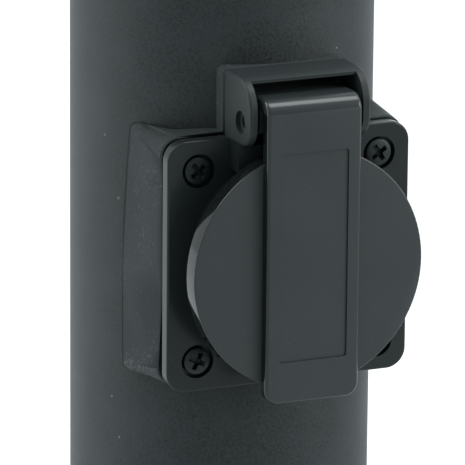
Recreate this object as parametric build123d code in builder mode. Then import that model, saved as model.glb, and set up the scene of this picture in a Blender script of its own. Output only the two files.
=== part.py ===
from build123d import *
from math import asin, copysign, cos, pi, radians, sin, sqrt, tan
import os

# Garden socket post: a round metal post on a bolted foot, with an earthed two-pole socket
# on its front wall under a sprung hinged lid. Sizes are in millimetres. The origin is the
# middle of the foot's underside, +Z is up and the socket faces -Y.

# Clearances and cutters
fit_gap = 0.05
seat_gap = 0.2
overrun = 2.0

# Post tube
post_height = 400.0
tube_radius = 30.0
tube_wall = 2.0
cutout_gap = 0.5

# Foot: pad, flange with spigot, anchor holes and grub screws
pad_set_back = 1.0
pad_thickness = 2.0
pad_opening = 14.0
pad_hole_gap = 1.0
foot_radius = 55.0
foot_thickness = 6.0
foot_edge = 1.5
spigot_height = 32.0
spigot_wall = 4.0
spigot_lead = 1.0
anchor_edge = 11.0
anchor_hole = 3.5
anchor_count = 4
grub_radius = 2.5
grub_rise = 16.0
grub_depth = 8.0
grub_key = 1.45
grub_key_depth = 3.0
grub_count = 3

# Cable grommet in the foot
grommet_neck = 10.0
grommet_lip = 13.0
grommet_lip_height = 2.0
grommet_bore = 7.0
grommet_edge = 0.6

# Top cap and its seal
cap_thickness = 4.0
cap_edge = 1.5
cap_spigot_height = 12.0
cap_spigot_gap = 0.3
cap_spigot_wall = 3.0
cap_seal_section = 2.0
cap_seal_drop = 5.0

# Socket: its axis below the top of the post, flange and adapter between flange and post
socket_drop = 80.0
flange_width = 50.8
flange_height = 50.0
flange_corner = 4.0
flange_thickness = 2.4
flange_edge = 0.4
gasket_thickness = 0.5
gasket_inset = 0.6
saddle_web = 0.45
saddle_depth_share = 0.5512
saddle_draft_share = 0.058
saddle_front_rise = 0.5
saddle_front_drop = 0.3
saddle_rear_rise = -0.45
saddle_rear_drop = -0.85
saddle_top_inset = 0.5
saddle_bottom_outset = 0.35
saddle_side_bow = 0.45
saddle_rear_corner = 1.2
saddle_edge = 0.3
bump_front_corner = 1.0
bump_rear_corner = 2.6

# Flange screws
screw_pitch = 38.0
screw_radius = 1.75
screw_length = 14.0
screw_head_radius = 2.7
screw_head_height = 1.4
screw_dome = 0.25
screw_tip = 1.2
screw_sink_radius = 3.35
screw_sink_depth = 1.6
cross_length = 4.0
cross_width = 0.9
cross_depth = 1.0
cross_turns = (64, 40, 15, 34)

# Collar, barrel and recess
collar_radius = 21.5
collar_front = 7.5
collar_edge = 0.3
barrel_back = 28.0
recess_radius = 19.5
recess_depth = 17.5
pocket_radius = 20.2
guide_width = 4.4
guide_reach = 2.5
guide_drop = 2.0

# Contact insert
insert_thickness = 3.5
pin_offset = 9.5
pin_hole = 2.8
chimney_radius = 4.5
chimney_length = 12.0
post_place_x = 5.2
post_place_y = 13.5
post_radius = 2.5
post_pilot = 1.2
post_pilot_depth = 12.0

# Contact sleeves and terminals
sleeve_bore = 2.45
sleeve_radius = 3.3
sleeve_length = 17.0
sleeve_floor = 0.5
terminal_width = 7.0
terminal_height = 8.0
terminal_length = 8.0
wire_hole = 1.0
terminal_screw_radius = 1.6
terminal_screw_head = 2.5
terminal_screw_head_height = 1.7
terminal_slot_width = 0.8
terminal_slot_depth = 0.8

# Earth strap
strap_width = 5.0
strap_thick = 0.8
strap_arm_inner = 18.3
strap_bow = 1.2
strap_arm_front = 3.8
strap_bow_place = 1.0
strap_bow_start = 8.0

# Rear cover of the socket
cover_back = 44.0
cover_floor = 2.0
cover_inner = 19.0
cover_ring = 4.0
cover_wire_hole = 2.2
cover_edge = 1.0
cover_screw_radius = 1.5
cover_screw_head = 2.7
cover_screw_head_height = 1.8
cover_screw_length = 12.0

# Hinge housing above the flange
hinge_depth = 5.0
hinge_rise = 29.2
housing_half_width = 12.6
housing_top = 37.9
housing_roll = 6.3
cheek_thickness = 1.6
cheek_reach = 4.65
cheek_edge = 0.5
pedestal_front = 4.5
pedestal_bottom = 19.0
cavity_radius = 7.6
cavity_back = 1.0
cavity_floor = 24.6
hood_front = 6.0
pin_radius = 1.25
pin_recess = 0.9
pin_recess_radius = 2.25
pin_chamfer = 0.2

# Lid
lid_radius = 23.9
lid_back = 8.2
lid_thickness = 1.6
lid_edge = 0.35
skirt_back = 6.0
skirt_wall = 1.2
rib_half_width = 9.8
rib_front = 11.9
rib_thickness = 2.3
rib_bottom = 25.7
rib_top = 34.3
rib_roll = 3.2
rib_corner = 2.7
rib_edge = 0.7
top_plate = 1.9
top_plate_end = 1.8
panel_half_width = 7.1
panel_bottom = 17.4
panel_top = 23.9
panel_depth = 0.3
panel_corner = 0.6
knuckle_radius = 2.8
knuckle_inner = 5.2
lid_ring_outer = 18.2
lid_ring_wall = 1.6
lid_ring_depth = 2.2
seal_inner = 18.8
seal_outer = 22.2
seal_thickness = 1.0
seal_groove = 0.5

# Lid spring
spring_wire = 0.35
spring_coil = 2.6
spring_pitch = 1.2
spring_turns = 6
spring_gap = 0.2
samples_per_turn = 60

# Terminal bracket, block and earth stud inside the post
block_drop = 75.0
block_half_width = 14.0
block_half_height = 9.0
block_depth = 12.0
block_corner = 1.5
block_back = 17.5
pole_pitch = 9.5
pole_axis = 5.5
pole_radius = 2.9
pole_bore = 1.6
pole_length = 16.0
clamp_rise = 4.5
clamp_radius = 1.75
clamp_well = 2.4
clamp_length = 2.6
groove_width = 4.6
groove_depth = 2.6
fixing_radius = 1.3
fixing_head = 2.1
fixing_head_height = 1.5
sheet = 1.5
sheet_bend = 2.0
bracket_above = 12.0
bracket_below = 27.0
bracket_strip = 5.0
bracket_foot = 12.0
bracket_screw_radius = 2.0
bracket_screw_head = 3.6
bracket_screw_head_height = 1.8
bracket_screw_length = 6.0
stud_drop = 18.0
stud_radius = 2.5
stud_length = 14.0
stud_head_flats = 8.0
stud_head_height = 3.0
nut_height = 3.6

# Leads between the socket terminals and the terminal block
lead_radius = 1.4
core_radius = 0.9
lead_gap = 0.3
core_upper = 6.0
core_lower = 8.0
lead_upper_share = 0.385
lead_lower_share = 0.255
lead_bend_share = 0.45

# Sizes that follow from the ones above
pad_radius = foot_radius - pad_set_back
anchor_place = foot_radius - anchor_edge
socket_height = post_height - socket_drop
block_level = socket_height - block_drop
tube_inner = tube_radius - tube_wall
tube_bottom = pad_thickness + foot_thickness
tube_top = post_height - cap_thickness
spigot_radius = tube_inner - fit_gap
flange_front = tube_radius + fit_gap + saddle_web + gasket_thickness + flange_thickness
gasket_back = -flange_thickness - gasket_thickness
recess_floor = collar_front - recess_depth
insert_back = recess_floor - insert_thickness
sleeve_back = insert_back - sleeve_length
terminal_back = sleeve_back - terminal_length
wire_depth = sleeve_back - terminal_length / 2
wire_y = -flange_front - wire_depth
rib_back = rib_front - rib_thickness
cutout_radius = collar_radius + cutout_gap
screw_offsets = (-screw_pitch / 2, screw_pitch / 2)
screw_places = [(x, y) for x in screw_offsets for y in screw_offsets]
post_places = [(post_place_x, post_place_y), (-post_place_x, -post_place_y)]
contact_places = [(-pin_offset, 0), (pin_offset, 0)]
terminal_places = [(-pin_offset, 0), (0, 0), (pin_offset, 0)]
pole_places = [-pole_pitch, 0, pole_pitch]
block_front = block_back - block_depth
pole_y = block_back - pole_axis
bracket_seat = sqrt(tube_inner**2 - bracket_strip**2) - fit_gap
bracket_upper = block_level + bracket_above
bracket_lower = block_level - bracket_below
bracket_spots = [
    (0, bracket_upper + bracket_foot / 2 + sheet),
    (0, bracket_lower - bracket_foot / 2 - sheet),
]
grub_angles = [90 + 360 * step / grub_count for step in range(grub_count)]

# Socket plane: x to the right, y up, z out of the flange face. Side plane: x out of the
# flange face, y up, for profiles that are drawn as seen from the side.
socket_plane = Plane(origin=(0, -flange_front, socket_height), x_dir=(1, 0, 0), z_dir=(0, -1, 0))
side_plane = Plane(origin=(0, -flange_front, socket_height), x_dir=(0, -1, 0), z_dir=(-1, 0, 0))
rear_plane = Plane(origin=(0, 0, 0), x_dir=(-1, 0, 0), z_dir=(0, 1, 0))


def radial_plane(angle, distance, height):
    """Plane square to a radius of the post, facing outwards."""
    outward = Vector(cos(radians(angle)), sin(radians(angle)), 0)
    return Plane(origin=(outward.X * distance, outward.Y * distance, height), z_dir=outward)


def rods(plane, radius, length, places=((0, 0),), bore=0, mode=Mode.ADD):
    """Cylinders, or tubes where a bore is given, that rise from a plane."""
    with BuildSketch(plane) as section:
        with Locations(*places):
            Circle(radius)
        if bore > 0:
            with Locations(*places):
                Circle(bore, mode=Mode.SUBTRACT)
    extrude(section.sketch, amount=length, mode=mode)


def flange_outline(
    grow, corner, bump_corner, rise=0, drop=0, top_inset=0, bottom_outset=0, bow=0
):
    """Outline of the square flange with the hinge bump on its top edge."""
    bottom_half = flange_width / 2 + grow + bottom_outset
    top_half = flange_width / 2 + grow - top_inset
    edge = flange_height / 2 + grow + rise
    bottom_edge = flange_height / 2 + grow + drop
    bump_half = housing_half_width + grow
    bump_top = housing_top + grow
    bottom_corners = [(-bottom_half, -bottom_edge), (bottom_half, -bottom_edge)]
    top_corners = [(-top_half, edge), (top_half, edge)]
    bump_corners = [(-bump_half, bump_top), (bump_half, bump_top)]
    with BuildSketch(Plane.XY) as outline:
        with BuildLine():
            Polyline(
                top_corners[1],
                (bump_half, edge),
                bump_corners[1],
                bump_corners[0],
                (-bump_half, edge),
                top_corners[0],
            )
            Line(bottom_corners[0], bottom_corners[1])
            for lower, upper in zip(bottom_corners, top_corners):
                if bow > 0:
                    middle = (lower[0] + upper[0]) / 2
                    ThreePointArc(lower, (middle + copysign(bow, middle), 0), upper)
                else:
                    Line(lower, upper)
        make_face()
        for place in bottom_corners + top_corners:
            fillet(outline.vertices().sort_by_distance(place)[0], corner)
        for place in bump_corners:
            fillet(outline.vertices().sort_by_distance(place)[0], bump_corner)
    return outline.sketch


def cross_recess(plane, place, turn=0):
    """Cross slot cut into a screw head from the top of the head downwards."""
    with BuildSketch(plane) as cross:
        with Locations(place):
            Rectangle(cross_length, cross_width, rotation=turn)
            Rectangle(cross_width, cross_length, rotation=turn)
    extrude(cross.sketch, amount=-cross_depth, mode=Mode.SUBTRACT)


# Post tube: a plain round tube with the barrel opening, the flange screw holes, the grub
# screw holes at the foot and the two bracket screw holes in its rear wall
with BuildPart() as post_tube:
    rods(Plane.XY.offset(tube_bottom), tube_radius, tube_top - tube_bottom, bore=tube_inner)
    rods(socket_plane.offset(-flange_front), cutout_radius, tube_radius + overrun, mode=Mode.SUBTRACT)
    rods(
        socket_plane.offset(-flange_front),
        screw_radius + fit_gap,
        tube_radius + overrun,
        places=screw_places,
        mode=Mode.SUBTRACT,
    )
    for angle in grub_angles:
        rods(
            radial_plane(angle, tube_inner - overrun, tube_bottom + grub_rise),
            grub_radius + fit_gap,
            tube_wall + 2 * overrun,
            mode=Mode.SUBTRACT,
        )
    rods(
        rear_plane,
        bracket_screw_radius + fit_gap,
        tube_radius + overrun,
        places=bracket_spots,
        mode=Mode.SUBTRACT,
    )
post_tube.part.label = "post_tube"

# Foot flange: anchor plate with the cable bore and the spigot that the tube slides over
with BuildPart() as base_flange:
    rods(Plane.XY.offset(pad_thickness), foot_radius, foot_thickness)
    fillet(base_flange.edges().group_by(Axis.Z)[-1], foot_edge)
    rods(Plane.XY.offset(tube_bottom), spigot_radius, spigot_height, bore=spigot_radius - spigot_wall)
    chamfer(base_flange.edges().group_by(Axis.Z)[-1].sort_by(SortBy.RADIUS)[-1], spigot_lead)
    rods(
        Plane.XY.offset(pad_thickness),
        grommet_neck + fit_gap,
        foot_thickness,
        mode=Mode.SUBTRACT,
    )
    with BuildSketch(Plane.XY.offset(pad_thickness)):
        with PolarLocations(anchor_place, anchor_count, start_angle=180 / anchor_count):
            Circle(anchor_hole)
    extrude(amount=foot_thickness, mode=Mode.SUBTRACT)
    for angle in grub_angles:
        rods(
            radial_plane(angle, spigot_radius - spigot_wall - overrun, tube_bottom + grub_rise),
            grub_radius + fit_gap,
            spigot_wall + 2 * overrun,
            mode=Mode.SUBTRACT,
        )
base_flange.part.label = "base_flange"

# Pad under the foot, open under the cable and at the anchor bolts
with BuildPart() as base_pad:
    rods(Plane.XY, pad_radius, pad_thickness, bore=pad_opening)
    with BuildSketch(Plane.XY):
        with PolarLocations(anchor_place, anchor_count, start_angle=180 / anchor_count):
            Circle(anchor_hole + pad_hole_gap)
    extrude(amount=pad_thickness, mode=Mode.SUBTRACT)
base_pad.part.label = "base_pad"

# Grub screws that hold the tube on the spigot, flush with the tube, with hexagon sockets
with BuildPart() as base_grub_screws:
    for angle in grub_angles:
        outer_end = radial_plane(angle, tube_radius - seat_gap, tube_bottom + grub_rise)
        rods(outer_end, grub_radius, -grub_depth)
        with BuildSketch(outer_end):
            RegularPolygon(grub_key, 6)
        extrude(amount=-grub_key_depth, mode=Mode.SUBTRACT)
base_grub_screws.part.label = "base_grub_screws"

# Cable grommet: a necked ring snapped into the bore of the foot
with BuildPart() as cable_grommet:
    rods(Plane.XY.offset(seat_gap), grommet_lip, pad_thickness - seat_gap)
    rods(Plane.XY.offset(pad_thickness), grommet_neck, foot_thickness)
    rods(Plane.XY.offset(tube_bottom), grommet_lip, grommet_lip_height)
    chamfer(cable_grommet.edges().group_by(Axis.Z)[-1], grommet_edge)
    rods(Plane.XY, grommet_bore, tube_bottom + grommet_lip_height + overrun, mode=Mode.SUBTRACT)
cable_grommet.part.label = "cable_grommet"

# Top cap: a disc that closes the tube, with a plain spigot and a groove for its seal
seal_ring_outer = tube_inner - fit_gap
seal_ring_inner = seal_ring_outer - cap_seal_section
with BuildPart() as top_cap:
    rods(Plane.XY.offset(tube_top), tube_radius, cap_thickness)
    fillet(top_cap.edges().group_by(Axis.Z)[-1], cap_edge)
    rods(
        Plane.XY.offset(tube_top - cap_spigot_height),
        tube_inner - cap_spigot_gap,
        cap_spigot_height,
        bore=tube_inner - cap_spigot_gap - cap_spigot_wall,
    )
    rods(
        Plane.XY.offset(tube_top - cap_seal_drop - cap_seal_section - fit_gap),
        tube_inner,
        cap_seal_section + 2 * fit_gap,
        bore=seal_ring_inner - fit_gap,
        mode=Mode.SUBTRACT,
    )
top_cap.part.label = "top_cap"

with BuildPart() as cap_seal:
    rods(
        Plane.XY.offset(tube_top - cap_seal_drop - cap_seal_section),
        seal_ring_outer,
        cap_seal_section,
        bore=seal_ring_inner,
    )
cap_seal.part.label = "cap_seal"

# Saddle: moulded adapter from the flat flange to the round post. Its front follows the
# flange, its sides flare towards the post, more so at the bottom, and its back is hollowed
# to the post's radius
saddle_front = gasket_back
saddle_depth = tube_radius * saddle_depth_share
saddle_flare = saddle_depth * saddle_draft_share
with BuildPart() as saddle:
    with BuildSketch(socket_plane.offset(saddle_front)):
        add(
            flange_outline(
                0, flange_corner, bump_front_corner, saddle_front_rise, saddle_front_drop
            )
        )
    with BuildSketch(socket_plane.offset(saddle_front - saddle_depth)):
        add(
            flange_outline(
                saddle_flare,
                saddle_rear_corner,
                bump_rear_corner,
                saddle_rear_rise,
                saddle_rear_drop,
                saddle_top_inset,
                saddle_bottom_outset,
                saddle_side_bow,
            )
        )
    loft()
    chamfer(saddle.edges().group_by(Axis.Y)[0], saddle_edge)
    rods(
        Plane.XY.offset(socket_height - flange_height),
        tube_radius + fit_gap,
        2 * flange_height,
        mode=Mode.SUBTRACT,
    )
    rods(socket_plane.offset(saddle_front), cutout_radius, -tube_radius, mode=Mode.SUBTRACT)
    rods(
        socket_plane.offset(saddle_front),
        screw_radius + fit_gap,
        -tube_radius,
        places=screw_places,
        mode=Mode.SUBTRACT,
    )
saddle.part.label = "saddle"

# Gasket between flange and saddle, set back from their edges all round
with BuildPart() as flange_gasket:
    with BuildSketch(socket_plane.offset(gasket_back)):
        add(flange_outline(-gasket_inset, flange_corner - gasket_inset, bump_front_corner))
    extrude(amount=gasket_thickness)
    rods(socket_plane.offset(gasket_back), cutout_radius, gasket_thickness, mode=Mode.SUBTRACT)
    rods(
        socket_plane.offset(gasket_back),
        screw_radius + fit_gap,
        gasket_thickness,
        places=screw_places,
        mode=Mode.SUBTRACT,
    )
flange_gasket.part.label = "flange_gasket"

# Socket body: one moulding of flange, hinge housing, collar and barrel. The housing is
# drawn from the side: pedestal, round cheek about the pin, straight front, rolled hood
hood_height = hinge_rise + sqrt(cavity_radius**2 - (hood_front - hinge_depth) ** 2)
hood_back_height = hinge_rise + sqrt(cavity_radius**2 - (hinge_depth + cavity_back) ** 2)
cheek_front = hinge_depth + cheek_reach
cavity_top = (hinge_depth, hinge_rise + cavity_radius)
with BuildPart() as socket_body:
    # Square flange with a rounded front edge
    with BuildSketch(socket_plane.offset(-flange_thickness)):
        RectangleRounded(flange_width, flange_height, flange_corner)
    extrude(amount=flange_thickness)
    fillet(socket_body.edges().group_by(Axis.Y)[0], flange_edge)
    # Cheeks and hood in one outline
    with BuildSketch(side_plane):
        with BuildLine():
            Polyline(
                (cheek_front, hinge_rise),
                (cheek_front, housing_top),
                (-flange_thickness, housing_top),
                (-flange_thickness, hinge_rise - cheek_reach),
                (hinge_depth, hinge_rise - cheek_reach),
            )
            RadiusArc((hinge_depth, hinge_rise - cheek_reach), (cheek_front, hinge_rise), -cheek_reach)
        make_face()
    extrude(amount=housing_half_width, both=True)
    hood_corner = socket_body.edges().filter_by(Axis.X).sort_by_distance(
        side_plane.from_local_coords(Vector(cheek_front, housing_top, 0))
    )[0]
    fillet(hood_corner, housing_roll)
    cheek_edges = (
        socket_body.edges()
        .filter_by(GeomType.LINE)
        .filter_by(Axis.Z)
        .group_by(Axis.Y)[0]
    )
    fillet(cheek_edges, cheek_edge)
    # Pedestal that carries the cheeks in front of the flange
    with BuildSketch(side_plane):
        with BuildLine():
            Polyline(
                (-flange_thickness, pedestal_bottom),
                (pedestal_front, pedestal_bottom),
                (pedestal_front, hinge_rise - cheek_reach + cheek_edge),
                (-flange_thickness, hinge_rise - cheek_reach + cheek_edge),
                (-flange_thickness, pedestal_bottom),
            )
        make_face()
    extrude(amount=housing_half_width, both=True)
    # Hollow between the cheeks, under the hood, for the lid's hinge
    with BuildSketch(side_plane):
        with BuildLine():
            Polyline(
                (-cavity_back, hood_back_height),
                (-cavity_back, cavity_floor),
                (cheek_front + overrun, cavity_floor),
                (cheek_front + overrun, housing_top + overrun),
                (hood_front, housing_top + overrun),
                (hood_front, hood_height),
            )
            ThreePointArc((hood_front, hood_height), cavity_top, (-cavity_back, hood_back_height))
        make_face()
    extrude(amount=housing_half_width - cheek_thickness, both=True, mode=Mode.SUBTRACT)
    # Bores for the hinge pin, with a wider outer recess in each cheek
    rods(
        side_plane.offset(-housing_half_width),
        pin_radius,
        2 * housing_half_width,
        [(hinge_depth, hinge_rise)],
        mode=Mode.SUBTRACT,
    )
    for end in (-1, 1):
        rods(
            side_plane.offset(end * housing_half_width),
            pin_recess_radius,
            -end * pin_recess,
            [(hinge_depth, hinge_rise)],
            mode=Mode.SUBTRACT,
        )
    # Collar in front of the flange and barrel behind it, then the recess and the pocket
    rods(socket_plane.offset(-barrel_back), collar_radius, barrel_back + collar_front)
    rods(socket_plane.offset(recess_floor), recess_radius, recess_depth, mode=Mode.SUBTRACT)
    rods(socket_plane.offset(-barrel_back), pocket_radius, barrel_back + recess_floor, mode=Mode.SUBTRACT)
    # Guide ribs on both sides of the recess
    with BuildSketch(socket_plane.offset(recess_floor)) as guide_section:
        Circle(recess_radius + collar_edge)
        Circle(recess_radius - guide_reach, mode=Mode.SUBTRACT)
        Rectangle(2 * collar_radius, guide_width, mode=Mode.INTERSECT)
    extrude(amount=recess_depth - guide_drop)
    # Screw holes with flat wells for the screw heads
    rods(socket_plane, screw_radius + fit_gap, -flange_thickness, places=screw_places, mode=Mode.SUBTRACT)
    rods(socket_plane, screw_sink_radius, -screw_sink_depth, places=screw_places, mode=Mode.SUBTRACT)
socket_body.part.label = "socket_body"

# Contact insert: face plate at the recess floor with pin holes, a tube behind each hole
# that holds its contact, gaps for the earth strap and two posts for the cover screws
with BuildPart() as contact_insert:
    rods(socket_plane.offset(insert_back), pocket_radius - fit_gap, insert_thickness)
    rods(socket_plane.offset(insert_back - chimney_length), chimney_radius, chimney_length, contact_places)
    rods(
        socket_plane.offset(insert_back - chimney_length),
        sleeve_radius + fit_gap,
        chimney_length,
        contact_places,
        mode=Mode.SUBTRACT,
    )
    rods(socket_plane.offset(insert_back), pin_hole, insert_thickness, contact_places, mode=Mode.SUBTRACT)
    rods(
        socket_plane.offset(-cover_back + cover_floor),
        post_radius,
        cover_back - cover_floor + insert_back,
        post_places,
    )
    rods(
        socket_plane.offset(-cover_back + cover_floor),
        post_pilot,
        post_pilot_depth,
        post_places,
        mode=Mode.SUBTRACT,
    )
    with BuildSketch(socket_plane.offset(insert_back)):
        with Locations((0, pocket_radius), (0, -pocket_radius)):
            Rectangle(
                strap_width + 2 * seat_gap,
                2 * (pocket_radius - strap_arm_inner + strap_bow + seat_gap),
            )
    extrude(amount=insert_thickness, mode=Mode.SUBTRACT)
contact_insert.part.label = "contact_insert"


def contact(place_x):
    """Round sleeve with a closed end and a clamp block behind it, for one pin."""
    with BuildSketch(socket_plane.offset(terminal_back)) as block_section:
        with Locations((place_x, 0)):
            Rectangle(terminal_width, terminal_height)
    extrude(block_section.sketch, amount=terminal_length)
    rods(socket_plane.offset(sleeve_back), sleeve_radius, sleeve_length, [(place_x, 0)])
    rods(
        socket_plane.offset(sleeve_back + sleeve_floor),
        sleeve_bore,
        sleeve_length - sleeve_floor,
        [(place_x, 0)],
        mode=Mode.SUBTRACT,
    )
    clamp_holes(place_x)


def clamp_holes(place_x):
    """Wire hole through a clamp block, from below, and the threaded hole from behind."""
    wire_plane = Plane.XY.offset(socket_height - terminal_height / 2)
    rods(wire_plane, wire_hole, terminal_height, [(place_x, wire_y)], mode=Mode.SUBTRACT)
    rods(
        socket_plane.offset(terminal_back),
        terminal_screw_radius + fit_gap,
        wire_depth - terminal_back,
        [(place_x, 0)],
        mode=Mode.SUBTRACT,
    )


with BuildPart() as contact_live:
    contact(pin_offset)
contact_live.part.label = "contact_live"

with BuildPart() as contact_neutral:
    contact(-pin_offset)
contact_neutral.part.label = "contact_neutral"

# Earth strap: a bent strip across the back of the insert. Its two arms reach forward
# along the recess wall and bow inwards, and a tab behind it carries the earth terminal
strap_arm_centre = strap_arm_inner + strap_thick / 2
strap_back = insert_back - strap_thick
with BuildPart() as earth_strap:
    with BuildSketch(side_plane):
        with Locations((insert_back - strap_thick / 2, 0)):
            Rectangle(strap_thick, 2 * (strap_arm_inner + strap_thick))
        with Locations((sleeve_back / 2 + strap_back / 2, 0)):
            Rectangle(strap_back - sleeve_back, strap_thick)
    extrude(amount=strap_width / 2, both=True)
    for side in (-1, 1):
        with BuildSketch(side_plane) as arm_section:
            with BuildLine():
                arm_line = Polyline(
                    (strap_back + strap_thick / 2, side * strap_arm_centre),
                    (-strap_bow_start, side * strap_arm_centre),
                    (strap_bow_place - strap_bow, side * (strap_arm_centre - strap_bow)),
                    (strap_bow_place + strap_bow, side * (strap_arm_centre - strap_bow)),
                    (strap_arm_front, side * strap_arm_centre),
                )
            trace(arm_line, line_width=strap_thick)
        extrude(arm_section.sketch, amount=strap_width / 2, both=True)
earth_strap.part.label = "earth_strap"

with BuildPart() as earth_terminal:
    with BuildSketch(socket_plane.offset(terminal_back)):
        Rectangle(terminal_width, terminal_height)
    extrude(amount=terminal_length)
    clamp_holes(0)
earth_terminal.part.label = "earth_terminal"

# Clamp screws of the three socket terminals, with slotted heads
with BuildPart() as terminal_screws:
    rods(
        socket_plane.offset(terminal_back),
        terminal_screw_radius,
        wire_depth - core_radius - fit_gap - terminal_back,
        terminal_places,
    )
    rods(
        socket_plane.offset(terminal_back - terminal_screw_head_height),
        terminal_screw_head,
        terminal_screw_head_height,
        terminal_places,
    )
    with BuildSketch(socket_plane.offset(terminal_back - terminal_screw_head_height)):
        with Locations(*terminal_places):
            Rectangle(2 * terminal_screw_head, terminal_slot_width)
    extrude(amount=terminal_slot_depth, mode=Mode.SUBTRACT)
terminal_screws.part.label = "terminal_screws"

# Rear cover: a cup behind the barrel with a ring that enters it, wire holes in its
# underside and two screw holes in its floor
with BuildPart() as rear_cover:
    rods(socket_plane.offset(-cover_back), collar_radius, cover_back - barrel_back)
    fillet(rear_cover.edges().group_by(Axis.Y)[-1], cover_edge)
    rods(socket_plane.offset(-barrel_back), pocket_radius - fit_gap, cover_ring)
    rods(
        socket_plane.offset(-cover_back + cover_floor),
        cover_inner,
        cover_back - cover_floor,
        mode=Mode.SUBTRACT,
    )
    rods(
        socket_plane.offset(-cover_back),
        cover_screw_radius + fit_gap,
        cover_floor,
        post_places,
        mode=Mode.SUBTRACT,
    )
    rods(
        Plane.XY.offset(socket_height - collar_radius - overrun),
        cover_wire_hole,
        collar_radius + overrun - terminal_height / 2,
        [(x, wire_y) for x, y in terminal_places],
        mode=Mode.SUBTRACT,
    )
rear_cover.part.label = "rear_cover"

with BuildPart() as rear_cover_screws:
    rods(socket_plane.offset(-cover_back), cover_screw_radius, cover_floor, post_places)
    rods(
        socket_plane.offset(-cover_back + cover_floor),
        post_pilot,
        cover_screw_length - cover_floor,
        post_places,
    )
    rods(
        socket_plane.offset(-cover_back - cover_screw_head_height),
        cover_screw_head,
        cover_screw_head_height,
        post_places,
    )
    for place in post_places:
        with BuildSketch(socket_plane.offset(-cover_back - cover_screw_head_height)) as cover_cross:
            with Locations(place):
                Rectangle(cross_length, cross_width)
                Rectangle(cross_width, cross_length)
        extrude(cover_cross.sketch, amount=cross_depth, mode=Mode.SUBTRACT)
rear_cover_screws.part.label = "rear_cover_screws"

# Flange screws: domed heads with cross slots, shanks through flange, gasket, saddle and
# the post wall, pointed ends
head_base = -screw_sink_depth
head_top = head_base + screw_head_height
with BuildPart() as flange_screws:
    for place, turn in zip(screw_places, cross_turns):
        head_centre = socket_plane.offset(head_base).from_local_coords(Vector(*place, 0))
        with BuildSketch(Plane(origin=head_centre, x_dir=(1, 0, 0), z_dir=(0, 0, 1))) as half:
            with BuildLine():
                Polyline(
                    (0, -screw_head_height - screw_dome),
                    (0, screw_length),
                    (screw_radius, screw_length - screw_tip),
                    (screw_radius, 0),
                    (screw_head_radius, 0),
                    (screw_head_radius, -screw_head_height),
                )
                RadiusArc(
                    (screw_head_radius, -screw_head_height),
                    (0, -screw_head_height - screw_dome),
                    (screw_head_radius**2 + screw_dome**2) / (2 * screw_dome),
                )
            make_face()
        revolve(half.sketch, axis=Axis(head_centre, (0, 1, 0)))
        cross_recess(socket_plane.offset(head_top + screw_dome), place, turn)
flange_screws.part.label = "flange_screws"

# Hinge pin, held in both cheeks and set back from their outer faces
pin_half_length = housing_half_width - pin_recess
with BuildPart() as hinge_pin:
    rods(
        side_plane.offset(-pin_half_length),
        pin_radius,
        2 * pin_half_length,
        [(hinge_depth, hinge_rise)],
    )
    chamfer(hinge_pin.edges().filter_by(GeomType.CIRCLE), pin_chamfer)
hinge_pin.part.label = "hinge_pin"

# Lid: the round cover with its skirt, a raised rib that runs down its front and rolls over
# at the top, then the hinge knuckles, the ring and the seal groove behind
with BuildPart() as lid:
    rods(socket_plane.offset(skirt_back), lid_radius, lid_back - skirt_back + lid_thickness)
    fillet(lid.edges().group_by(Axis.Y)[0], lid_edge)
    rods(
        socket_plane.offset(skirt_back),
        lid_radius - skirt_wall,
        lid_back - skirt_back,
        mode=Mode.SUBTRACT,
    )
    with BuildSketch(socket_plane.offset(rib_back)) as rib_face:
        with Locations((0, -rib_bottom / 2)):
            Rectangle(2 * rib_half_width, rib_bottom)
        fillet(rib_face.vertices().group_by(Axis.Y)[0], rib_corner)
    extrude(amount=rib_thickness)
    with BuildSketch(side_plane) as rib_side:
        with BuildLine():
            Polyline(
                (rib_front, 0),
                (rib_front, rib_top),
                (top_plate_end, rib_top),
                (top_plate_end, rib_top - top_plate),
                (rib_back, rib_top - top_plate),
                (rib_back, 0),
                (rib_front, 0),
            )
        make_face()
        fillet(rib_side.vertices().sort_by_distance((rib_front, rib_top))[0], rib_roll)
        fillet(
            rib_side.vertices().sort_by_distance((rib_back, rib_top - top_plate))[0],
            rib_roll - rib_thickness,
        )
    extrude(amount=rib_half_width, both=True)
    rib_edges = lid.faces().sort_by(Axis.Y)[0].edges().group_by(Axis.Z)[:-1]
    fillet([edge for group in rib_edges for edge in group], rib_edge)
    # Knuckles: webs from the top plate down and round the pin
    for side in (-1, 1):
        knuckle_middle = side * (knuckle_inner + rib_half_width) / 2
        with BuildSketch(side_plane.offset(knuckle_middle)) as knuckle_section:
            with Locations((hinge_depth, hinge_rise)):
                Circle(knuckle_radius)
            with Locations((hinge_depth, (hinge_rise + rib_top - top_plate) / 2)):
                Rectangle(2 * knuckle_radius, rib_top - top_plate - hinge_rise)
        extrude(knuckle_section.sketch, amount=(rib_half_width - knuckle_inner) / 2, both=True)
    rods(
        side_plane.offset(-rib_half_width),
        pin_radius + fit_gap,
        2 * rib_half_width,
        [(hinge_depth, hinge_rise)],
        mode=Mode.SUBTRACT,
    )
    # Recessed panel down the rib
    with BuildSketch(socket_plane.offset(rib_front)):
        with Locations((0, (panel_top - panel_bottom) / 2)):
            RectangleRounded(2 * panel_half_width, panel_top + panel_bottom, panel_corner)
    extrude(amount=-panel_depth, mode=Mode.SUBTRACT)
    # Ring that enters the recess, and the groove that holds the seal
    rods(
        socket_plane.offset(lid_back - lid_ring_depth),
        lid_ring_outer,
        lid_ring_depth,
        bore=lid_ring_outer - lid_ring_wall,
    )
    rods(
        socket_plane.offset(lid_back),
        seal_outer + fit_gap,
        seal_groove,
        bore=seal_inner - fit_gap,
        mode=Mode.SUBTRACT,
    )
lid.part.label = "lid"

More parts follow.
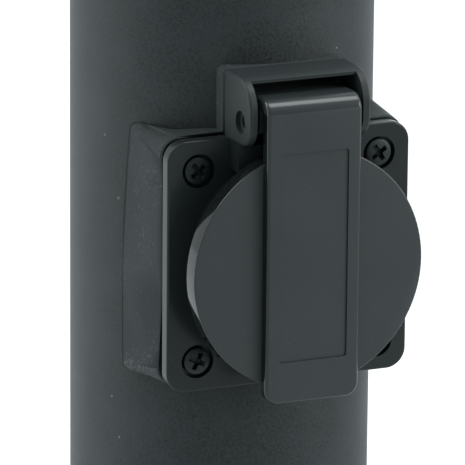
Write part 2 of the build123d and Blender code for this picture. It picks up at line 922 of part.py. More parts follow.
with BuildPart() as lid_seal:
    rods(
        socket_plane.offset(lid_back + seal_groove - seal_thickness),
        seal_outer,
        seal_thickness,
        bore=seal_inner,
    )
lid_seal.part.label = "lid_seal"

# Lid spring: a torsion spring round the pin. Both legs leave the rear of the coil, one up
# to the lid's top plate and one down to the floor of the housing. Each half turn of the
# coil is drawn as two tangent arcs
coil_start = spring_turns * spring_pitch / 2
coil_steps = 4 * spring_turns
leg_up = rib_top - top_plate - hinge_rise - spring_gap
leg_down = hinge_rise - cavity_floor - spring_gap


def coil_point(step):
    """Centre of the wire after a number of quarter turns, seen from the pin's axis."""
    angle = step * pi / 2
    return Vector(
        coil_start - spring_pitch * step / 4,
        -flange_front - hinge_depth + spring_coil * cos(angle),
        socket_height + hinge_rise - spring_coil * sin(angle),
    )


def coil_tangent(step):
    """Direction of the wire there. The first and the last point run straight into a leg."""
    angle = step * pi / 2
    climb = 0 if step in (0, coil_steps) else -spring_pitch / (2 * pi * spring_coil)
    return Vector(climb, -sin(angle), -cos(angle)).normalized()


def arc_pair(start, start_direction, end, end_direction):
    """Point and direction where two tangent arcs between two points meet."""
    chord = end - start
    total = start_direction + end_direction
    spread = 2 * (1 - start_direction.dot(end_direction))
    reach = (sqrt(chord.dot(total) ** 2 + spread * chord.dot(chord)) - chord.dot(total)) / spread
    return (start + start_direction * reach + end - end_direction * reach) * 0.5


with BuildPart() as lid_spring:
    with BuildLine() as spring_path:
        Line(coil_point(0) + Vector(0, 0, leg_up), coil_point(0))
        for step in range(coil_steps):
            start = coil_point(step)
            end = coil_point(step + 1)
            meet = arc_pair(start, coil_tangent(step), end, coil_tangent(step + 1))
            first_arc = TangentArc(start, meet, tangent=coil_tangent(step))
            TangentArc(meet, end, tangent=first_arc % 1)
        Line(coil_point(coil_steps), coil_point(coil_steps) - Vector(0, 0, leg_down))
    with BuildSketch(Plane(origin=spring_path.line @ 0, z_dir=spring_path.line % 0)):
        Circle(spring_wire)
    sweep(path=spring_path.wires()[0])
lid_spring.part.label = "lid_spring"

# Least gap between neighbouring turns, measured on points along the wire
sample_count = samples_per_turn * spring_turns
wire_line = spring_path.wires()[0]
samples = [wire_line @ (index / sample_count) for index in range(sample_count + 1)]
skip = int(pi * spring_coil * sample_count / wire_line.length)
least = min(
    (samples[i] - samples[j]).length
    for i in range(len(samples))
    for j in range(i + skip, len(samples))
)
print("least gap of the spring to itself:", round(least - 2 * spring_wire, 3), "mm")

# Terminal block: moulded housing with three wire ways, screw wells and two fixing holes
# that lie in the grooves between the poles
pole_spots = [(x, pole_y) for x in pole_places]
clamp_spots = [(x, block_level + side * clamp_rise) for x in pole_places for side in (-1, 1)]
fixing_spots = [(-pole_pitch / 2, block_level), (pole_pitch / 2, block_level)]
with BuildPart() as terminal_block:
    with BuildSketch(Plane.XY.offset(block_level - block_half_height)) as block_section:
        with Locations((0, block_front + block_depth / 2)):
            Rectangle(2 * block_half_width, block_depth)
        fillet(block_section.vertices().group_by(Axis.Y)[0], block_corner)
        with Locations((-pole_pitch / 2, block_front), (pole_pitch / 2, block_front)):
            Rectangle(groove_width, 2 * groove_depth, mode=Mode.SUBTRACT)
    extrude(amount=2 * block_half_height)
    rods(
        Plane.XY.offset(block_level - block_half_height),
        pole_radius + fit_gap,
        2 * block_half_height,
        pole_spots,
        mode=Mode.SUBTRACT,
    )
    rods(
        rear_plane.offset(block_front),
        clamp_well,
        pole_axis,
        clamp_spots,
        mode=Mode.SUBTRACT,
    )
    rods(
        rear_plane.offset(block_front),
        fixing_radius + fit_gap,
        block_depth,
        fixing_spots,
        mode=Mode.SUBTRACT,
    )
terminal_block.part.label = "terminal_block"

with BuildPart() as block_inserts:
    rods(
        Plane.XY.offset(block_level - pole_length / 2),
        pole_radius,
        pole_length,
        pole_spots,
    )
    rods(
        Plane.XY.offset(block_level - pole_length / 2),
        pole_bore,
        pole_length,
        pole_spots,
        mode=Mode.SUBTRACT,
    )
    rods(
        rear_plane.offset(block_front),
        clamp_radius + fit_gap,
        pole_y - block_front,
        clamp_spots,
        mode=Mode.SUBTRACT,
    )
block_inserts.part.label = "block_inserts"

# Clamp screws of the terminal block. They end just clear of the cores
clamp_end = pole_y - core_radius - fit_gap
with BuildPart() as block_clamp_screws:
    rods(
        rear_plane.offset(clamp_end - clamp_length),
        clamp_radius,
        clamp_length,
        clamp_spots,
    )
    with BuildSketch(rear_plane.offset(clamp_end - clamp_length)):
        with Locations(*clamp_spots):
            Rectangle(2 * clamp_radius, terminal_slot_width)
    extrude(amount=terminal_slot_depth, mode=Mode.SUBTRACT)
block_clamp_screws.part.label = "block_clamp_screws"

with BuildPart() as block_fixing_screws:
    rods(
        rear_plane.offset(block_front + groove_depth),
        fixing_radius,
        block_depth - groove_depth + sheet,
        fixing_spots,
    )
    rods(
        rear_plane.offset(block_front + groove_depth - fixing_head_height),
        fixing_head,
        fixing_head_height,
        fixing_spots,
    )
    with BuildSketch(rear_plane.offset(block_front + groove_depth - fixing_head_height)):
        with Locations(*fixing_spots):
            Rectangle(2 * fixing_head, terminal_slot_width)
    extrude(amount=terminal_slot_depth, mode=Mode.SUBTRACT)
block_fixing_screws.part.label = "block_fixing_screws"

# Terminal bracket: a sheet plate behind the block on a bent strip whose two feet lie
# against the rear wall of the tube
foot_line = bracket_seat - sheet / 2
plate_line = block_back + sheet / 2
with BuildPart() as terminal_bracket:
    with BuildSketch(Plane.YZ) as strip_section:
        with BuildLine():
            strip_line = FilletPolyline(
                (foot_line, bracket_upper + bracket_foot),
                (foot_line, bracket_upper),
                (plate_line, bracket_upper),
                (plate_line, bracket_lower),
                (foot_line, bracket_lower),
                (foot_line, bracket_lower - bracket_foot),
                radius=sheet_bend,
            )
        trace(strip_line, line_width=sheet)
    extrude(amount=bracket_strip, both=True)
    with BuildSketch(rear_plane.offset(block_back)):
        with Locations((0, (bracket_upper + bracket_lower) / 2)):
            Rectangle(2 * block_half_width, bracket_upper - bracket_lower - 2 * sheet_bend - 2 * sheet)
    extrude(amount=sheet)
    rods(
        rear_plane.offset(block_back),
        fixing_radius + fit_gap,
        sheet,
        fixing_spots,
        mode=Mode.SUBTRACT,
    )
    rods(
        rear_plane.offset(block_back),
        stud_radius + fit_gap,
        sheet,
        [(0, block_level - stud_drop)],
        mode=Mode.SUBTRACT,
    )
    rods(
        rear_plane.offset(bracket_seat - sheet),
        bracket_screw_radius + fit_gap,
        sheet,
        bracket_spots,
        mode=Mode.SUBTRACT,
    )
terminal_bracket.part.label = "terminal_bracket"

with BuildPart() as bracket_screws:
    rods(rear_plane.offset(tube_radius), bracket_screw_radius, -bracket_screw_length, bracket_spots)
    rods(rear_plane.offset(tube_radius), bracket_screw_head, bracket_screw_head_height, bracket_spots)
    for spot in bracket_spots:
        cross_recess(rear_plane.offset(tube_radius + bracket_screw_head_height), spot)
bracket_screws.part.label = "bracket_screws"

# Earth stud on the bracket, with its head behind the plate, and two nuts
with BuildPart() as earth_stud:
    with BuildSketch(rear_plane.offset(block_back + sheet)):
        with Locations((0, block_level - stud_drop)):
            RegularPolygon(stud_head_flats / 2, 6, major_radius=False)
    extrude(amount=stud_head_height)
    rods(
        rear_plane.offset(block_back + sheet),
        stud_radius,
        -stud_length,
        [(0, block_level - stud_drop)],
    )
earth_stud.part.label = "earth_stud"

with BuildPart() as earth_nuts:
    for nut_index in (1, 2):
        nut_face = block_back - nut_index * nut_height - (nut_index - 1) * seat_gap
        with BuildSketch(rear_plane.offset(nut_face)):
            with Locations((0, block_level - stud_drop)):
                RegularPolygon(stud_head_flats / 2, 6, major_radius=False)
                Circle(stud_radius + fit_gap, mode=Mode.SUBTRACT)
        extrude(amount=nut_height)
earth_nuts.part.label = "earth_nuts"


def lead(terminal_x, pole_x):
    """Insulated solid conductor from a socket terminal down to its pole of the block."""
    with BuildLine() as route:
        FilletPolyline(
            (terminal_x, wire_y, lead_top),
            (terminal_x, wire_y, lead_top - upper_run),
            (pole_x, pole_y, lead_bottom + lower_run),
            (pole_x, pole_y, lead_bottom),
            radius=lead_radii,
        )
    with BuildSketch(Plane(origin=route.line @ 0, z_dir=route.line % 0)) as sleeve_section:
        Circle(lead_radius)
    sweep(sleeve_section.sketch, path=route.wires()[0])
    rods(Plane.XY.offset(lead_top), core_radius, core_upper, [(terminal_x, wire_y)])
    rods(Plane.XY.offset(lead_bottom), core_radius, -core_lower, [(pole_x, pole_y)])


# Each lead runs straight down from its terminal and up from its pole, and slants between
lead_top = socket_height - terminal_height / 2 - lead_gap
lead_bottom = block_level + block_half_height + lead_gap
upper_run = lead_upper_share * (lead_top - lead_bottom)
lower_run = lead_lower_share * (lead_top - lead_bottom)
slant_drop = lead_top - lead_bottom - upper_run - lower_run
slant = sqrt((pole_y - wire_y) ** 2 + slant_drop**2)
half_turn = asin((pole_y - wire_y) / slant) / 2
lead_radii = [lead_bend_share * min(run, slant) / tan(half_turn) for run in (upper_run, lower_run)]
print("bend radii of the leads:", [round(radius, 1) for radius in lead_radii], "mm")

with BuildPart() as lead_live:
    lead(pin_offset, pole_pitch)
lead_live.part.label = "lead_live"

with BuildPart() as lead_neutral:
    lead(-pin_offset, -pole_pitch)
lead_neutral.part.label = "lead_neutral"

with BuildPart() as lead_earth:
    lead(0, 0)
lead_earth.part.label = "lead_earth"

os.makedirs("parts", exist_ok=True)
pieces = [
    post_tube,
    top_cap,
    cap_seal,
    base_flange,
    base_pad,
    base_grub_screws,
    cable_grommet,
    saddle,
    flange_gasket,
    socket_body,
    contact_insert,
    contact_live,
    contact_neutral,
    earth_strap,
    earth_terminal,
    terminal_screws,
    rear_cover,
    rear_cover_screws,
    flange_screws,
    hinge_pin,
    lid,
    lid_seal,
    lid_spring,
    terminal_block,
    block_inserts,
    block_clamp_screws,
    block_fixing_screws,
    terminal_bracket,
    bracket_screws,
    earth_stud,
    earth_nuts,
    lead_live,
    lead_neutral,
    lead_earth,
]
for piece in pieces:
    export_step(piece.part, f"parts/{piece.part.label}.step")
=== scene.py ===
from math import cos, radians, sin

import bmesh
import bpy
from mathutils import Matrix, Vector


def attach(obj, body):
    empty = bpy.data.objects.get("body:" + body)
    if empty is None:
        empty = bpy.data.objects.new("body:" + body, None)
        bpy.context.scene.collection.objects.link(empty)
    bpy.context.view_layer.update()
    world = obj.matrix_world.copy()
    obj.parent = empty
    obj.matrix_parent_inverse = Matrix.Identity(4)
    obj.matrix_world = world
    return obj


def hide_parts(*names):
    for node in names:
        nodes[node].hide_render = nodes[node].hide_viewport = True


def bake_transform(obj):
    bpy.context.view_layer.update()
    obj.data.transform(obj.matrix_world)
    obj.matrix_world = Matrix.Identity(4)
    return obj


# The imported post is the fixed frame: metres, +Z up, the socket faces -Y
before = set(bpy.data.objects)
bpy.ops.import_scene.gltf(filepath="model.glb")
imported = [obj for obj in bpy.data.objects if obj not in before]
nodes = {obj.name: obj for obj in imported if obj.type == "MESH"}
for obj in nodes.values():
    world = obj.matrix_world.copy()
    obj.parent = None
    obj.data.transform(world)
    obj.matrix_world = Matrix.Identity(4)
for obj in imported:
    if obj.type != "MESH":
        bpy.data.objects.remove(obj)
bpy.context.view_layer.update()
MM = 0.001

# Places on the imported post, in millimetres
POST_RADIUS = 30.0
FLANGE_FACE_Y = -33.4
SOCKET_HEIGHT = 320.0
SCREW_OFFSET = 19
SCREW_SINK = 1.6
SADDLE_FOOT = 296.5

PLASTIC_IOR = 1.5
# Near-black of the painted shade in the gaps beside the saddle
PAINTED_SHADE_BLACK = "#0c0e0e"


# Colours and nodes
def paint(code):
    """Linear colour of an sRGB hex code."""
    parts = [int(code[i:i + 2], 16) / 255 for i in (1, 3, 5)]
    linear = [c / 12.92 if c <= 0.04045 else ((c + 0.055) / 1.055) ** 2.4 for c in parts]
    return (*linear, 1.0)


def add(tree, kind, inputs=None, **options):
    """Adds a node with its options. Each input gets a value, or a link from an output."""
    made = tree.nodes.new(kind)
    for name, value in options.items():
        setattr(made, name, value)
    for socket, value in (inputs or {}).items():
        if isinstance(value, bpy.types.NodeSocket):
            tree.links.new(value, made.inputs[socket])
        else:
            made.inputs[socket].default_value = value
    return made


def maths(tree, operation, *terms, **options):
    """Result of an operation on numbers and outputs."""
    return add(tree, "ShaderNodeMath", dict(enumerate(terms)), operation=operation,
               **options).outputs[0]


def span(tree, value, start, end, low, high, **options):
    """Carries a value from the range start to end over to the range low to high."""
    return add(tree, "ShaderNodeMapRange", {0: value, 1: start, 2: end, 3: low, 4: high},
               **options).outputs[0]


def mixed(tree, first, second, share):
    """Colour between two others, each of which is a hex code or an output."""
    first, second = (paint(c) if isinstance(c, str) else c for c in (first, second))
    return add(tree, "ShaderNodeMix", {0: share, 6: first, 7: second}, data_type="RGBA").outputs[2]


def mixed_value(tree, first, second, share):
    """Number between two others."""
    return add(tree, "ShaderNodeMix", {0: share, 2: first, 3: second}, data_type="FLOAT").outputs[0]


def along(tree, vector, axis):
    """One of a vector's three parts."""
    return add(tree, "ShaderNodeSeparateXYZ", {0: vector}).outputs[axis]


def grains_per_metre(size_mm):
    """Scale of a pattern whose grains are this many millimetres across."""
    return 1000.0 / size_mm


def noise(tree, place, size_mm, **values):
    """Noise whose grains are this many millimetres across."""
    return add(tree, "ShaderNodeTexNoise",
               {"Vector": place, "Scale": grains_per_metre(size_mm), **values}).outputs["Fac"]


def bump(tree, height, strength, depth_mm):
    """Relief of this depth."""
    return add(tree, "ShaderNodeBump",
               {"Height": height, "Strength": strength, "Distance": depth_mm * MM}).outputs[0]


def new_material(name):
    """Empty node material with its tree and the object coordinates."""
    material = bpy.data.materials.new(name)
    material.use_nodes = True
    tree = material.node_tree
    tree.nodes.clear()
    place = add(tree, "ShaderNodeTexCoord").outputs["Object"]
    return material, tree, place


def surface(tree, colour, roughness, relief, **values):
    """Ends a material with its shader and output."""
    shader = add(tree, "ShaderNodeBsdfPrincipled",
                 {"Base Color": colour, "Roughness": roughness, "Normal": relief,
                  **{name.replace("_", " "): value for name, value in values.items()}})
    add(tree, "ShaderNodeOutputMaterial", {"Surface": shader.outputs[0]})


def textured_powder_coat():
    """Polyester powder coat with a fine leather-like texture. The real grains are about 0.3
    mm and are drawn at 0.5 mm so that they show: the sheen is broad, each grain has a lit
    and a dark side, and a few pale grains of dust lie on the coat."""
    material, tree, place = new_material("textured_powder_coat")
    grit = noise(tree, place, 0.5, Detail=3.0, Roughness=0.65)
    cloud = noise(tree, place, 9, Detail=4.0)
    coat = mixed(tree, "#242a2b", "#3c4244", span(tree, grit, 0.35, 0.65, 0.0, 1.0))
    wiped = mixed(tree, coat, "#414749", span(tree, cloud, 0.45, 0.75, 0.0, 0.5))
    dust = add(tree, "ShaderNodeTexVoronoi", {"Vector": place, "Scale": grains_per_metre(7)})
    dusty = span(tree, dust.outputs["Distance"], 0.045, 0.02, 0.0, 0.8)
    surface(tree, mixed(tree, wiped, "#8c908f", dusty), span(tree, grit, 0.3, 0.7, 0.45, 0.62),
            bump(tree, grit, 0.65, 0.1), IOR=PLASTIC_IOR, Specular_IOR_Level=0.4)
    return material


def moulded(name, low, high, grain_mm, depth_mm, rough, level, speck=None, bond=None, walls=None,
            upper=None):
    """Moulded rubber or plastic.

    low, high: its darker and its lighter colour
    grain_mm, depth_mm: grains and depth of its spark-eroded texture
    rough: its two ends of roughness
    level: its specular level
    speck: pale flecks of bloom or dust on it, with their colour, the level of the noise at
        which they start and their strength
    bond: for a piece that sits on the post, the post's radius, along which a dark line of
    painted shade stands for the shadow in the gap at the post, and the height below
    which the bloom gathers. Its front, which bears the flange's gasket, is painted black
    too, as painted shade in the joint beside the flange
    walls: colour and roughness of its edges and side walls, which a polished tool leaves
        darker and smoother than the eroded front
    upper: a height, a colour and a roughness. What is above that height comes from an
        eroded tool on all its sides
    """
    material, tree, place = new_material(name)
    normal = place.node.outputs["Normal"]
    grain = noise(tree, place, grain_mm, Detail=2.0)
    flow = noise(tree, place, 14, Detail=3.0)
    colour = mixed(tree, low, high, flow)
    roughness = span(tree, flow, 0.3, 0.7, *rough)
    strength = 0.4
    if speck:
        fleck_colour, fleck_start, fleck_strength = speck
        fleck = noise(tree, place, 0.7, Detail=4.0, Roughness=0.7)
        patch = noise(tree, place, 9, Detail=2.0)
        bloom = maths(tree, "MULTIPLY_ADD", patch, 0.25, fleck)
        if bond:
            height = along(tree, place, "Z")
            foot = span(tree, height, (bond[1] + 2.5) * MM, bond[1] * MM, 0.0, 0.16)
            bloom = maths(tree, "ADD", bloom, foot)
        mask = span(tree, bloom, fleck_start, fleck_start + 0.06, 0.0, fleck_strength)
        colour = mixed(tree, colour, fleck_colour, mask)
    # Painted shade: near-black along the foot on the post, below the bump, and over the front that
    # faces the flange, for the shade in the gaps there
    if bond:
        flat = add(tree, "ShaderNodeCombineXYZ",
                   {"X": along(tree, place, "X"), "Y": along(tree, place, "Y")})
        away = add(tree, "ShaderNodeVectorMath", {0: flat.outputs[0]}, operation="LENGTH")
        near_post = span(tree, away.outputs["Value"], (bond[0] + 0.5) * MM, (bond[0] + 0.3) * MM,
                         0.0, 0.95)
        below_bump = span(tree, along(tree, place, "Z"), 346.5 * MM, 345 * MM, 0.0, 1.0)
        front = span(tree, along(tree, normal, "Y"), -0.9, -0.97, 0.0, 0.95)
        painted_shade = maths(tree, "MULTIPLY_ADD", near_post, below_bump, front, use_clamp=True)
        colour = mixed(tree, colour, PAINTED_SHADE_BLACK, painted_shade)
    if walls:
        front = span(tree, along(tree, normal, "Y"), -0.5, -0.8, 0.0, 1.0)
        colour = mixed(tree, walls[0], colour, front)
        roughness = mixed_value(tree, walls[1], roughness, front)
        strength = maths(tree, "MULTIPLY", front, strength)
    if upper:
        above = span(tree, along(tree, place, "Z"), (upper[0] - 0.3) * MM, upper[0] * MM, 0.0, 1.0)
        colour = mixed(tree, colour, upper[1], above)
        roughness = mixed_value(tree, roughness, upper[2], above)
    surface(tree, colour, roughness, bump(tree, grain, strength, depth_mm),
            IOR=PLASTIC_IOR, Specular_IOR_Level=level)
    return material


def machined(name, low, high, stretch, rough):
    """Bare or plated metal. stretch gives the direction in which drawing or turning marks
    run, as the pattern's scale along x, y and z."""
    material, tree, place = new_material(name)
    stretched = add(tree, "ShaderNodeMapping", {"Vector": place, "Scale": stretch}).outputs[0]
    marks = noise(tree, stretched, 0.5, Detail=4.0)
    surface(tree, mixed(tree, low, high, marks), span(tree, marks, 0.3, 0.7, *rough),
            bump(tree, marks, 0.25, 0.006), Metallic=1.0)
    return material


powder_coat = textured_powder_coat()
# EPDM rubber, moulded in an eroded tool: matt, with a pale bloom in flecks, and painted shade along
# its foot on the post and over its front
saddle_rubber = moulded("moulded_epdm_rubber", "#303637", "#3a4041", 0.5, 0.08, (0.6, 0.75), 0.3,
                        ("#989c9c", 0.73, 0.2), bond=(POST_RADIUS, SADDLE_FOOT))
# Glass-filled polyamide, polished tool: satin and nearly black
socket_plastic = moulded("black_polyamide", "#2b3132", "#343a3b", 0.35, 0.012, (0.2, 0.3), 0.37,
                         ("#5a5f60", 0.79, 0.4), walls=("#1e2425", 0.28),
                         upper=(345.2, "#2f3536", 0.46))
# The same polyamide from a finely eroded tool: the lid's faces are a little lighter
lid_plastic = moulded("eroded_black_polyamide", "#3a4041", "#404647", 0.3, 0.02, (0.36, 0.46), 0.5,
                      ("#6a6f70", 0.78, 0.35), walls=("#181c1d", 0.1),
                      upper=(351.9, "#363c3d", 0.16))
# Thermoset, pressed in a polished tool: even and satin
insert_plastic = moulded("thermoset_insert", "#222526", "#282b2c", 0.4, 0.01, (0.3, 0.4), 0.5)
# Silicone and cellular rubber: black, the one smooth and the other with open cells
seal_rubber = moulded("silicone_seal", "#101112", "#171819", 0.3, 0.01, (0.5, 0.65), 0.4)
pad_rubber = moulded("cellular_rubber", "#1a1b1c", "#232425", 0.8, 0.15, (0.75, 0.9), 0.3)
# Undyed polyamide and the three colours of lead insulation: smooth, a little uneven in tone
block_plastic = moulded("natural_polyamide", "#cfcbbd", "#dad7ca", 0.5, 0.01, (0.35, 0.5), 0.5)
brown_pvc = moulded("brown_pvc", "#4a2c1c", "#563423", 0.4, 0.01, (0.35, 0.45), 0.5)
blue_pvc = moulded("blue_pvc", "#1d3f87", "#244a97", 0.4, 0.01, (0.35, 0.45), 0.5)
earth_pvc = moulded("green_yellow_pvc", "#5d8a1f", "#c7b92a", 0.4, 0.01, (0.35, 0.45), 0.5)
# Black zinc on steel: a dark satin metal. Black oxide is darker and smoother
black_zinc = machined("black_zinc", "#343a3c", "#505658", (1, 1, 1), (0.45, 0.6))
black_oxide = machined("black_oxide_steel", "#0e0f10", "#17191a", (1, 1, 1), (0.3, 0.45))
# Bright metals, with the fine marks of plating, drawing or turning
zinc_steel = machined("zinc_plated_steel", "#b9bab6", "#d2d3cf", (1, 1, 1), (0.28, 0.42))
stainless = machined("stainless_steel", "#b4b5b6", "#cfd0d1", (0.2, 1, 1), (0.2, 0.34))
spring_steel = machined("drawn_spring_steel", "#8c8e90", "#a6a8aa", (1, 1, 1), (0.25, 0.4))
brass = machined("turned_brass", "#c9a45a", "#dcbb74", (1, 0.2, 1), (0.2, 0.34))

finishes = {
    powder_coat: ["post_tube", "top_cap", "base_flange"],
    saddle_rubber: ["saddle"],
    socket_plastic: ["socket_body", "rear_cover"],
    lid_plastic: ["lid"],
    insert_plastic: ["contact_insert"],
    seal_rubber: ["cap_seal", "cable_grommet", "flange_gasket", "lid_seal"],
    pad_rubber: ["base_pad"],
    block_plastic: ["terminal_block"],
    brown_pvc: ["lead_live"],
    blue_pvc: ["lead_neutral"],
    earth_pvc: ["lead_earth"],
    black_zinc: ["flange_screws"],
    black_oxide: ["hinge_pin"],
    zinc_steel: ["terminal_screws", "rear_cover_screws", "block_clamp_screws",
                 "block_fixing_screws", "terminal_bracket", "earth_stud", "earth_nuts"],
    stainless: ["base_grub_screws", "bracket_screws"],
    spring_steel: ["lid_spring"],
    brass: ["contact_live", "contact_neutral", "earth_strap", "earth_terminal", "block_inserts"],
}
for material, names in finishes.items():
    for name in names:
        nodes[name].material_slots[0].material = material


# Modelling
def clear_selection():
    """Leaves edit mode and deselects every object."""
    if bpy.context.mode != "OBJECT":
        bpy.ops.object.mode_set(mode="OBJECT")
    bpy.ops.object.select_all(action="DESELECT")


def take(piece):
    """Selects one object alone and makes it the active one."""
    clear_selection()
    piece.select_set(True)
    bpy.context.view_layer.objects.active = piece


def pick(kind, test):
    """In edit mode, selects the vertices or faces that pass a test of their middle and of
    their normal."""
    bpy.ops.mesh.select_mode(type=kind)
    bpy.ops.mesh.select_all(action="DESELECT")
    mesh = bmesh.from_edit_mesh(bpy.context.object.data)
    if kind == "VERT":
        found = [corner for corner in mesh.verts if test(corner.co, corner.normal)]
    else:
        found = [face for face in mesh.faces if test(face.calc_center_median(), face.normal)]
    for part in found:
        part.select_set(True)
    bmesh.update_edit_mesh(bpy.context.object.data)


def settle(piece):
    """Puts a finished piece's place into its mesh."""
    take(piece)
    bpy.ops.object.transform_apply(location=True, rotation=True, scale=True)


def cut_away(piece, cutter):
    """Subtracts one object from another and removes it."""
    take(piece)
    bpy.ops.object.modifier_add(type="BOOLEAN")
    cut = piece.modifiers[-1]
    cut.operation = "DIFFERENCE"
    cut.solver = "EXACT"
    cut.object = cutter
    bpy.ops.object.modifier_apply(modifier=cut.name)
    bpy.data.objects.remove(cutter)


def shade(piece, angle):
    """Shades a piece smooth, but not over edges that are sharper than the angle."""
    take(piece)
    bpy.ops.object.shade_smooth_by_angle(angle=radians(angle))


def faces_up(middle, normal):
    """Test for pick: a face that looks up."""
    return normal.z > 0.9


def faces_down(middle, normal):
    """Test for pick: a face that looks down."""
    return normal.z < -0.9


def flange_screw():
    """One cross-head screw along +Z with the underside of its head at the origin: a low
    dome with a rounded rim, a tapered cross recess, a shank and a point. Sizes in
    millimetres."""
    head_radius, head_height = 2.7, 1.25
    dome = ((0.05, 0.09), (0.1, 0.06), (0.25, 0.07), (0.6, 0.1), (0.8, 0.06), (0.6, 0.02))
    shank_inset, shank_length, point_length = 0.95, 12.8, 1.2
    arm, arm_middle, arm_taper, arm_side_taper = (4.1, 1.0, 1.6), 1.2, 0.55, 0.85
    shaft_bottom, shaft_top, shaft_depth, shaft_middle = 0.6, 1.3, 1.7, 1.15

    clear_selection()
    bpy.ops.mesh.primitive_cylinder_add(vertices=72, radius=head_radius * MM,
                                        depth=head_height * MM,
                                        location=(0, 0, head_height / 2 * MM))
    screw = bpy.context.object
    settle(screw)
    bpy.ops.object.mode_set(mode="EDIT")
    pick("FACE", faces_up)
    for step, lift in dome:
        bpy.ops.mesh.inset(thickness=step * MM, depth=lift * MM)
    pick("FACE", faces_down)
    bpy.ops.mesh.inset(thickness=shank_inset * MM)
    for length in (shank_length, point_length):
        bpy.ops.mesh.extrude_region_move(TRANSFORM_OT_translate={"value": (0, 0, -length * MM)})
    bpy.ops.transform.resize(value=(0.1, 0.1, 1))
    bpy.ops.object.mode_set(mode="OBJECT")
    # Recess: two arms that taper towards the bottom, and a square shaft between them
    for turn, taper in ((0, (arm_taper, arm_side_taper, 1)), (90, (arm_side_taper, arm_taper, 1))):
        clear_selection()
        bpy.ops.mesh.primitive_cube_add(size=MM, location=(0, 0, arm_middle * MM),
                                        rotation=(0, 0, radians(turn)), scale=arm)
        cutter = bpy.context.object
        settle(cutter)
        bpy.ops.object.mode_set(mode="EDIT")
        pick("FACE", faces_down)
        bpy.ops.transform.resize(value=taper)
        cut_away(screw, cutter)
    clear_selection()
    bpy.ops.mesh.primitive_cone_add(vertices=4, radius1=shaft_bottom * MM, radius2=shaft_top * MM,
                                    depth=shaft_depth * MM, location=(0, 0, shaft_middle * MM))
    shaft = bpy.context.object
    settle(shaft)
    cut_away(screw, shaft)
    shade(screw, 35)
    return screw


def place_flange_screws():
    """Copies of the screw in the four corners of the flange, each stopped at its own turn."""
    pattern = flange_screw()
    pattern.data.materials.clear()
    pattern.data.materials.append(black_zinc)
    seat = (FLANGE_FACE_Y + SCREW_SINK) * MM
    corners = [(-1, -1, 64), (-1, 1, 40), (1, -1, 15), (1, 1, 34)]
    screws = []
    for number, (right, up, turn) in enumerate(corners, 1):
        screw = bpy.data.objects.new(f"flange_screw_{number}", pattern.data.copy())
        bpy.context.scene.collection.objects.link(screw)
        place = Vector((right * SCREW_OFFSET * MM, seat, (SOCKET_HEIGHT + up * SCREW_OFFSET) * MM))
        screw.matrix_world = (Matrix.Translation(place) @ Matrix.Rotation(radians(90), 4, "X")
                              @ Matrix.Rotation(radians(turn), 4, "Z"))
        settle(screw)
        screws.append(screw)
    bpy.data.objects.remove(pattern)
    for screw in screws:
        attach(screw, "post")
        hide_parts("flange_screws")


def copied_from(name, finish):
    """A new object with the merged mesh of a CAD node, opened in edit mode."""
    piece = bpy.data.objects.new(name + "_moulding", nodes[name].data.copy())
    bpy.context.scene.collection.objects.link(piece)
    take(piece)
    bpy.ops.mesh.customdata_custom_splitnormals_clear()
    piece.data.materials.clear()
    piece.data.materials.append(finish)
    bpy.ops.object.mode_set(mode="EDIT")
    bpy.ops.mesh.select_all(action="SELECT")
    bpy.ops.mesh.remove_doubles(threshold=0.0005 * MM)
    return piece


def finished(piece, body, node, angle):
    """Shades a worked copy, lets it ride on its body and stand for its CAD node."""
    shade(piece, angle)
    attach(piece, body)
    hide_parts(node)


def saddle_moulding():
    """The saddle as moulded: its front stands off from the flange towards the bottom and
    the top left, so that a joint shows beside and above the flange, dark with the painted
    shade of the saddle's black front. Sizes in millimetres and degrees."""
    upper_line, upper_tilt = 338, 9
    lower_line, lower_tilt = 314, -5.5
    tilted_from, tilted_to, pivot_y = -29, -17, -33
    left_of = -15
    set_back = 0.15

    piece = copied_from("saddle", saddle_rubber)
    bpy.ops.mesh.dissolve_limited(angle_limit=radians(0.5))
    for height in (lower_line, upper_line):
        bpy.ops.mesh.select_all(action="SELECT")
        bpy.ops.mesh.bisect(plane_co=(0, 0, height * MM), plane_no=(0, 0, 1))
    # The tilt is shared out over the depth of the walls, 1 mm at a time
    steps = range(tilted_from, tilted_to)
    for height, side, tilt in ((upper_line, 1, upper_tilt), (lower_line, -1, lower_tilt)):
        for front in steps:
            pick("VERT", lambda corner, normal: corner.y < front * MM
                 and side * (corner.z - height * MM) > 0.001 * MM
                 and (side < 0 or corner.x < left_of * MM))
            bpy.ops.transform.rotate(value=radians(tilt / len(steps)), orient_axis="X",
                                     center_override=(0, pivot_y * MM, height * MM))
    pick("VERT", lambda corner, normal: corner.y < tilted_from * MM)
    bpy.ops.transform.translate(value=(0, set_back * MM, 0))
    finished(piece, "post", "saddle", 40)


def lid_moulding():
    """The lid with its merged mesh shaded anew, so that the glint runs along the roll of its
    rib as one soft band."""
    piece = copied_from("lid", lid_plastic)
    finished(piece, "lid", "lid", 30)


def wound_spring():
    """The lid's spring. The real one winds up as the lid opens: its lower leg stays in the
    housing and its upper leg turns with the lid; this copy is not made to wind or turn. The
    lower leg leans forward at its foot, which leaves room for the open lid."""
    foot_height, lean = 346, -0.35

    spring = copied_from("lid_spring", spring_steel)
    pick("VERT", lambda corner, normal: corner.z < foot_height * MM)
    bpy.ops.transform.translate(value=(0, lean * MM, 0))
    shade(spring, 35)
    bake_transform(spring)
    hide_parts("lid_spring")


place_flange_screws()
saddle_moulding()
lid_moulding()
wound_spring()


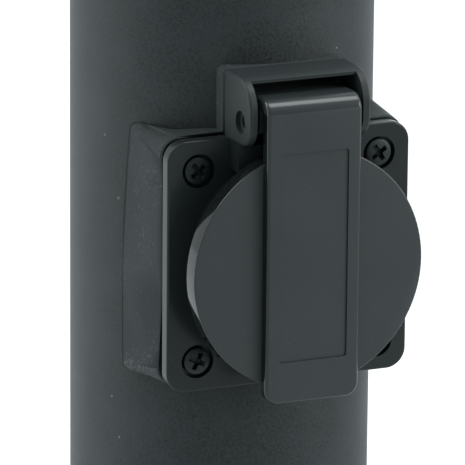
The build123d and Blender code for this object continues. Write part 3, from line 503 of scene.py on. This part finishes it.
# Camera: a long lens a little less than a metre away, left of the socket and above it
turn, rise, roll = radians(-23.4897), radians(15.5370), radians(0.47702)
aim, distance = Vector((-0.0125513, -0.035, 0.3266032)), 0.945565
back = Vector((sin(turn) * cos(rise), -cos(turn) * cos(rise), sin(rise)))
across = Vector((cos(turn), sin(turn), 0))
upright = back.cross(across)
stance = Matrix((
    across * cos(roll) + upright * sin(roll),
    upright * cos(roll) - across * sin(roll),
    back,
)).transposed().to_4x4()
stance.translation = aim + back * distance
lens = bpy.data.cameras.new("long_lens")
lens.sensor_width = 36.0
lens.lens = 381.65
lens.clip_end = 20.0
camera = bpy.data.objects.new("long_lens", lens)
camera.matrix_world = stance
bpy.context.scene.collection.objects.link(camera)
bpy.context.scene.camera = camera


def pale_floor():
    """A pale matt sweep. The camera sees it as white, reflections see it bright behind the
    post and dimmer in front, and it keeps the post's shadow."""
    material, tree, place = new_material("pale_floor")
    path = add(tree, "ShaderNodeLightPath").outputs
    seen = maths(tree, "MULTIPLY", path["Is Camera Ray"], 0.8)
    sweep = span(tree, along(tree, place, "Y"), -0.6, 0.9, 0.0, 0.85)
    mirrored = maths(tree, "MULTIPLY", path["Is Glossy Ray"], sweep)
    glow = maths(tree, "ADD", seen, mirrored)
    grain = noise(tree, place, 4.0)
    surface(tree, paint("#bfc3c4"), 0.9, bump(tree, grain, 0.05, 0.2),
            Emission_Color=mixed(tree, "#f3feff", "#ffffff", path["Is Camera Ray"]),
            Emission_Strength=glow)
    return material


clear_selection()
bpy.ops.mesh.primitive_plane_add(size=12.0, location=(0, 0, 0))
floor = bpy.context.object
floor.name = "floor"
floor.data.materials.append(pale_floor())

# Light: a studio that is white to the camera, dark on the side that the post is
# photographed from, mid-grey at its flanks and bright behind the post
world = bpy.data.worlds.new("studio")
bpy.context.scene.world = world
world.use_nodes = True
room = world.node_tree
room.nodes.clear()
sky = add(room, "ShaderNodeTexCoord").outputs["Generated"]
path = add(room, "ShaderNodeLightPath").outputs
dark_side = add(room, "ShaderNodeVectorMath", {0: sky, 1: (-0.32, -0.91, 0.25)},
                operation="DOT_PRODUCT").outputs["Value"]
flank = span(room, dark_side, 0.85, 0.45, 0.18, 0.5, interpolation_type="SMOOTHSTEP")
rear = span(room, dark_side, -0.75, -0.95, 0.0, 0.85, interpolation_type="SMOOTHSTEP")
gloss = span(room, path["Is Glossy Ray"], 0.0, 1.0, 1.3, 1.6)
shine = maths(room, "MULTIPLY", maths(room, "ADD", flank, rear), gloss)
lamp = add(room, "ShaderNodeBackground",
           {"Color": mixed(room, "#f5feff", "#ffffff", path["Is Camera Ray"]),
            "Strength": maths(room, "MAXIMUM", shine, path["Is Camera Ray"])})
add(room, "ShaderNodeOutputWorld", {"Surface": lamp.outputs[0]})


def soft_box(name, place, size, watts):
    """Rectangular lamp at a place, turned towards the socket."""
    light = bpy.data.lights.new(name, "AREA")
    light.shape = "RECTANGLE"
    light.size, light.size_y = size
    light.energy = watts
    made = bpy.data.objects.new(name, light)
    made.location = place
    towards = Vector((0, -0.03, 0.3)) - Vector(place)
    made.rotation_euler = towards.to_track_quat("-Z", "Y").to_euler()
    bpy.context.scene.collection.objects.link(made)


soft_box("left_box", (-1.1, 0.45, 0.45), (0.7, 0.9), 1.8)
soft_box("left_high_box", (-0.69, 0.25, 1.13), (0.55, 0.55), 3.4)
soft_box("right_box", (1.0, -0.75, 0.75), (0.6, 0.6), 6)
soft_box("top_box", (0.40, -0.18, 1.30), (0.46, 0.46), 2.8)

bpy.context.scene.view_settings.view_transform = "Standard"
